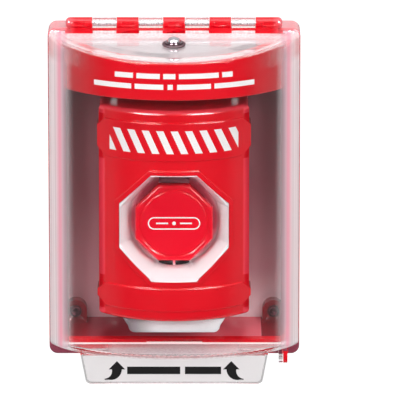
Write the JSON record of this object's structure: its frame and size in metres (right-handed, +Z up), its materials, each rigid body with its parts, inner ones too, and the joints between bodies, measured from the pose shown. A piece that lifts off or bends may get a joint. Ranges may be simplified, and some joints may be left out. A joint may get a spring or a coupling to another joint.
{
  "type": "emergency push button station with hinged cover",
  "caption": "Wall-mounted emergency push button in a bowed red station, under a clear lift-up cover with its own sounder.",
  "frame": {"origin": "middle of the wall face, at mid-height of the mounting frame", "axes": "+Z up, +Y into the wall, so the button faces -Y; +X to the right as seen by the person"},
  "size_m": [0.149, 0.0785, 0.215],
  "materials": {
    "foam": "closed-cell foam",
    "grey_plastic": "matte moulded",
    "red_plastic": "gloss moulded",
    "zinc_steel": "zinc plated",
    "magnet": "sintered",
    "clear_plastic": "clear, polished",
    "label_film": "printed film",
    "pale_plastic": "satin moulded",
    "rubber": "matte",
    "chrome": "polished",
    "battery_wrap": "printed steel can",
    "black_plastic": "matte moulded",
    "board": "solder mask",
    "reed_glass": "sealed glass",
    "white_plastic": "satin moulded",
    "smoked_lens": "smoked, polished",
    "lamp_lens": "frosted",
    "button_red": "gloss moulded",
    "spring_steel": "drawn wire",
    "brass": "plain"
  },
  "bodies": {
    "base": {"wall_gasket": "foam", "backing_plate": "grey_plastic", "mounting_frame": "red_plastic", "frame_screws": "zinc_steel", "hinge_pin": "zinc_steel", "cover_magnet": "magnet", "station_base": "white_plastic", "station_screws": "zinc_steel", "station_shell": "red_plastic", "shell_screws": "zinc_steel", "bezel": "white_plastic", "upper_lens": "smoked_lens", "lower_lens": "smoked_lens", "lamp_board": "board", "indicator_lamps": "lamp_lens", "return_spring": "spring_steel", "contact_block_left": "black_plastic", "contact_block_right": "black_plastic", "terminal_screws": "brass"},
    "cover": {"clear_cover": "clear_plastic", "lift_label": "label_film", "horn_housing": "red_plastic", "horn_lid": "pale_plastic", "lid_screws": "zinc_steel", "sealing_washer": "rubber", "steel_washer": "chrome", "horn_screw": "chrome", "horn_nut": "zinc_steel", "battery": "battery_wrap", "battery_clip": "black_plastic", "sounder": "black_plastic", "horn_board": "board", "reed_switch": "reed_glass"},
    "button": {"button_cap": "button_red", "button_stem": "black_plastic", "stem_clip": "spring_steel", "contact_plungers": "white_plastic"}
  },
  "joints": [
    {"name": "cover_hinge", "type": "hinge", "parent": "base", "child": "cover", "pos_m": [0, -0.0252, 0.1023], "axis": [-1, 0, 0], "range_deg": [0, 105]},
    {"name": "button_push", "type": "slide", "parent": "base", "child": "button", "axis": [0, 1, 0], "range_m": [0, 0.004], "stiffness_N_per_m": 1500, "springref_m": -0.002, "deforming": ["return_spring"]}
  ]
}
